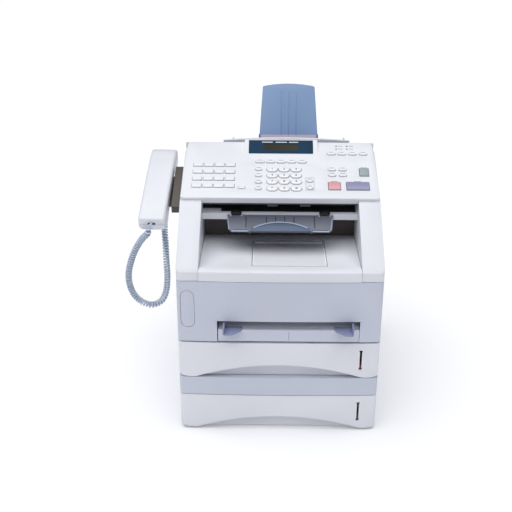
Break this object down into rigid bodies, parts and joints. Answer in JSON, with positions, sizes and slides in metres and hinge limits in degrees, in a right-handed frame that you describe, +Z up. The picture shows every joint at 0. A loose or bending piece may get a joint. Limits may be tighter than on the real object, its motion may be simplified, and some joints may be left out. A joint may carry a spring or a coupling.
{
  "type": "laser fax machine",
  "caption": "Desktop laser fax with a tilted key panel, side handset on a curly cord, sheet collector, manual feed slot and stacked paper drawers.",
  "frame": {"origin": "on the floor plane under the casing's middle, halfway between the side covers", "axes": "+X to the right seen from the front, -Y out of the front, +Z up"},
  "size_m": [0.4523, 0.4306, 0.541],
  "materials": {
    "shell": "fine-textured moulded ABS, pale gray-white",
    "shell_dark": "fine-textured moulded ABS, a shade darker",
    "key_white": "smooth satin keytops",
    "start": "satin blue-lavender keytop",
    "stop": "satin pink-red keytop",
    "copy": "satin gray-green keytop",
    "bezel": "glossy deep teal-blue panel",
    "lcd": "dark olive display window",
    "led": "small clear lens",
    "slate": "dark slate-blue moulding",
    "blue_flap": "steel-blue moulding",
    "guide": "blue-lavender moulding",
    "support": "tinted translucent blue sheet moulding",
    "handset": "smooth satin-gloss ABS",
    "cradle": "blue-gray moulding",
    "cord": "PVC jacket, pale blue-gray",
    "black": "black moulding",
    "roller": "matt rubber",
    "frame": "dark gray structural moulding",
    "metal": "zinc-plated pressed steel",
    "board": "green solder mask",
    "foot": "soft rubber"
  },
  "bodies": {
    "root": {"lower_unit_housing": "shell", "main_frame": "frame", "left_side_cover": "shell", "right_side_cover": "shell", "rear_panel": "shell", "upper_case": "shell", "output_tray_cover": "shell", "document_cover": "shell", "handset_cradle": "cradle", "curly_cord": "cord", "drum_unit": "black", "fuser_unit": "frame", "laser_unit": "black", "main_board": "board", "rear_sockets": "black", "rubber_feet": "foot", "case_screws": "metal"},
    "lower_drawer": {"lower_tray": "shell"},
    "lower_lift": {"lower_tray_plate": "metal"},
    "lower_pickup": {"lower_pickup_roller": "roller"},
    "upper_drawer": {"upper_tray": "shell"},
    "upper_lift": {"upper_tray_plate": "metal"},
    "upper_pickup": {"upper_pickup_roller": "roller"},
    "back_door": {"rear_door": "shell_dark"},
    "stopper_flap": {"output_flap": "shell_dark"},
    "cover": {"front_cover": "shell", "manual_feed_table": "shell"},
    "guide_left": {"manual_guide_left": "guide"},
    "guide_right": {"manual_guide_right": "guide"},
    "panel": {"control_panel": "shell", "display_bezel": "bezel", "display_window": "lcd", "status_leds": "led"},
    "support": {"document_support": "support"},
    "sheet_guide_left": {"document_guide_left": "shell_dark"},
    "sheet_guide_right": {"document_guide_right": "shell_dark"},
    "exit_roller": {"eject_roller": "roller"},
    "stop_tray": {"document_stop_tray": "slate"},
    "stop_flap": {"document_stop_flap": "blue_flap"},
    "handset": {"handset_back_shell": "handset", "handset_front_shell": "handset"},
    "hook": {"hook_switch": "shell"},
    "rocker": {"power_switch": "black"},
    "dial_key_1_body": {"dial_key_1": "key_white"},
    "dial_key_2_body": {"dial_key_2": "key_white"},
    "dial_key_3_body": {"dial_key_3": "key_white"},
    "dial_key_4_body": {"dial_key_4": "key_white"},
    "dial_key_5_body": {"dial_key_5": "key_white"},
    "dial_key_6_body": {"dial_key_6": "key_white"},
    "dial_key_7_body": {"dial_key_7": "key_white"},
    "dial_key_8_body": {"dial_key_8": "key_white"},
    "dial_key_9_body": {"dial_key_9": "key_white"},
    "dial_key_star_body": {"dial_key_star": "key_white"},
    "dial_key_0_body": {"dial_key_0": "key_white"},
    "dial_key_hash_body": {"dial_key_hash": "key_white"},
    "start_key_body": {"start_key": "start"},
    "stop_key_body": {"stop_key": "stop"},
    "copy_key_body": {"copy_key": "copy"},
    "one_touch_keys_body": {"one_touch_keys": "key_white"},
    "function_keys_body": {"function_keys": "key_white"}
  },
  "joints": [
    {"name": "lower_drawer_slide", "type": "slide", "parent": "root", "child": "lower_drawer", "axis": [0, -1, 0], "range_m": [0, 0.3]},
    {"name": "lower_lift_hinge", "type": "hinge", "parent": "lower_drawer", "child": "lower_lift", "pos_m": [0, 0.04, 0.013], "axis": [-1, 0, 0], "range_deg": [0, 8]},
    {"name": "lower_pickup_spin", "type": "hinge", "parent": "root", "child": "lower_pickup", "pos_m": [0, -0.15, 0.056], "axis": [1, 0, 0], "continuous": true},
    {"name": "upper_drawer_slide", "type": "slide", "parent": "root", "child": "upper_drawer", "axis": [0, -1, 0], "range_m": [0, 0.3]},
    {"name": "upper_lift_hinge", "type": "hinge", "parent": "upper_drawer", "child": "upper_lift", "pos_m": [0, 0.04, 0.121], "axis": [-1, 0, 0], "range_deg": [0, 8]},
    {"name": "upper_pickup_spin", "type": "hinge", "parent": "root", "child": "upper_pickup", "pos_m": [0, -0.15, 0.164], "axis": [1, 0, 0], "continuous": true},
    {"name": "rear_door_hinge", "type": "hinge", "parent": "root", "child": "back_door", "pos_m": [0.0165, 0.2036, 0.199], "axis": [-1, 0, 0], "range_deg": [0, 85]},
    {"name": "output_flap_hinge", "type": "hinge", "parent": "root", "child": "stopper_flap", "pos_m": [0.0165, -0.0495, 0.30404], "axis": [-1, 0, 0], "range_deg": [0, 15]},
    {"name": "front_cover_hinge", "type": "hinge", "parent": "root", "child": "cover", "pos_m": [0, -0.199, 0.19], "axis": [1, 0, 0], "range_deg": [0, 80]},
    {"name": "manual_guide_left_slide", "type": "slide", "parent": "cover", "child": "guide_left", "axis": [1, 0, 0], "range_m": [0, 0.05]},
    {"name": "manual_guide_right_slide", "type": "slide", "parent": "cover", "child": "guide_right", "axis": [-1, 0, 0], "range_m": [0, 0.05]},
    {"name": "panel_hinge", "type": "hinge", "parent": "root", "child": "panel", "pos_m": [0, 0.068, 0.44], "axis": [-1, 0, 0], "range_deg": [0, 40]},
    {"name": "document_support_hinge", "type": "hinge", "parent": "root", "child": "support", "pos_m": [0.0165, 0.09705, 0.44955], "axis": [-1, 0, 0], "range_deg": [0, 35]},
    {"name": "sheet_guide_left_slide", "type": "slide", "parent": "root", "child": "sheet_guide_left", "axis": [1, 0, 0], "range_m": [0, 0.045]},
    {"name": "sheet_guide_right_slide", "type": "slide", "parent": "root", "child": "sheet_guide_right", "axis": [-1, 0, 0], "range_m": [0, 0.045]},
    {"name": "exit_roller_spin", "type": "hinge", "parent": "root", "child": "exit_roller", "pos_m": [0, -0.05, 0.38], "axis": [1, 0, 0], "continuous": true},
    {"name": "stop_tray_hinge", "type": "hinge", "parent": "root", "child": "stop_tray", "pos_m": [0, -0.069, 0.3625], "axis": [1, 0, 0], "range_deg": [0, 15]},
    {"name": "stop_flap_hinge", "type": "hinge", "parent": "stop_tray", "child": "stop_flap", "pos_m": [0, -0.10848, 0.35206], "axis": [1, 0, 0], "range_deg": [0, 165]},
    {"name": "handset_lift", "type": "slide", "parent": "root", "child": "handset", "axis": [0, -0.314, 0.9494], "range_m": [0, 0.06]},
    {"name": "hook_switch_travel", "type": "slide", "parent": "root", "child": "hook", "axis": [0, -0.314, 0.9494], "range_m": [0, 0.003]},
    {"name": "power_switch_rock", "type": "hinge", "parent": "root", "child": "rocker", "pos_m": [0.1735, 0.161, 0.156], "axis": [0, 0, 1], "range_deg": [-6, 6]},
    {"name": "dial_key_1_press", "type": "slide", "parent": "panel", "child": "dial_key_1_body", "axis": [0, 0.3156, -0.9489], "range_m": [0, 0.0012], "stiffness_N_per_m": 600},
    {"name": "dial_key_2_press", "type": "slide", "parent": "panel", "child": "dial_key_2_body", "axis": [0, 0.3156, -0.9489], "range_m": [0, 0.0012], "stiffness_N_per_m": 600},
    {"name": "dial_key_3_press", "type": "slide", "parent": "panel", "child": "dial_key_3_body", "axis": [0, 0.3156, -0.9489], "range_m": [0, 0.0012], "stiffness_N_per_m": 600},
    {"name": "dial_key_4_press", "type": "slide", "parent": "panel", "child": "dial_key_4_body", "axis": [0, 0.3156, -0.9489], "range_m": [0, 0.0012], "stiffness_N_per_m": 600},
    {"name": "dial_key_5_press", "type": "slide", "parent": "panel", "child": "dial_key_5_body", "axis": [0, 0.3156, -0.9489], "range_m": [0, 0.0012], "stiffness_N_per_m": 600},
    {"name": "dial_key_6_press", "type": "slide", "parent": "panel", "child": "dial_key_6_body", "axis": [0, 0.3156, -0.9489], "range_m": [0, 0.0012], "stiffness_N_per_m": 600},
    {"name": "dial_key_7_press", "type": "slide", "parent": "panel", "child": "dial_key_7_body", "axis": [0, 0.3156, -0.9489], "range_m": [0, 0.0012], "stiffness_N_per_m": 600},
    {"name": "dial_key_8_press", "type": "slide", "parent": "panel", "child": "dial_key_8_body", "axis": [0, 0.3156, -0.9489], "range_m": [0, 0.0012], "stiffness_N_per_m": 600},
    {"name": "dial_key_9_press", "type": "slide", "parent": "panel", "child": "dial_key_9_body", "axis": [0, 0.3156, -0.9489], "range_m": [0, 0.0012], "stiffness_N_per_m": 600},
    {"name": "dial_key_star_press", "type": "slide", "parent": "panel", "child": "dial_key_star_body", "axis": [0, 0.3156, -0.9489], "range_m": [0, 0.0012], "stiffness_N_per_m": 600},
    {"name": "dial_key_0_press", "type": "slide", "parent": "panel", "child": "dial_key_0_body", "axis": [0, 0.3156, -0.9489], "range_m": [0, 0.0012], "stiffness_N_per_m": 600},
    {"name": "dial_key_hash_press", "type": "slide", "parent": "panel", "child": "dial_key_hash_body", "axis": [0, 0.3156, -0.9489], "range_m": [0, 0.0012], "stiffness_N_per_m": 600},
    {"name": "start_key_press", "type": "slide", "parent": "panel", "child": "start_key_body", "axis": [0, 0.3156, -0.9489], "range_m": [0, 0.0012], "stiffness_N_per_m": 600},
    {"name": "stop_key_press", "type": "slide", "parent": "panel", "child": "stop_key_body", "axis": [0, 0.3156, -0.9489], "range_m": [0, 0.0012], "stiffness_N_per_m": 600},
    {"name": "copy_key_press", "type": "slide", "parent": "panel", "child": "copy_key_body", "axis": [0, 0.3156, -0.9489], "range_m": [0, 0.0012], "stiffness_N_per_m": 600},
    {"name": "one_touch_keys_press", "type": "slide", "parent": "panel", "child": "one_touch_keys_body", "axis": [0, 0.3156, -0.9489], "range_m": [0, 0.0012], "stiffness_N_per_m": 600},
    {"name": "function_keys_press", "type": "slide", "parent": "panel", "child": "function_keys_body", "axis": [0, 0.3156, -0.9489], "range_m": [0, 0.0012], "stiffness_N_per_m": 600}
  ],
  "couplings": [
    {"joint": "manual_guide_right_slide", "follows": "manual_guide_left_slide", "ratio": 1},
    {"joint": "sheet_guide_right_slide", "follows": "sheet_guide_left_slide", "ratio": 1},
    {"joint": "hook_switch_travel", "follows": "handset_lift", "ratio": 0.05}
  ]
}
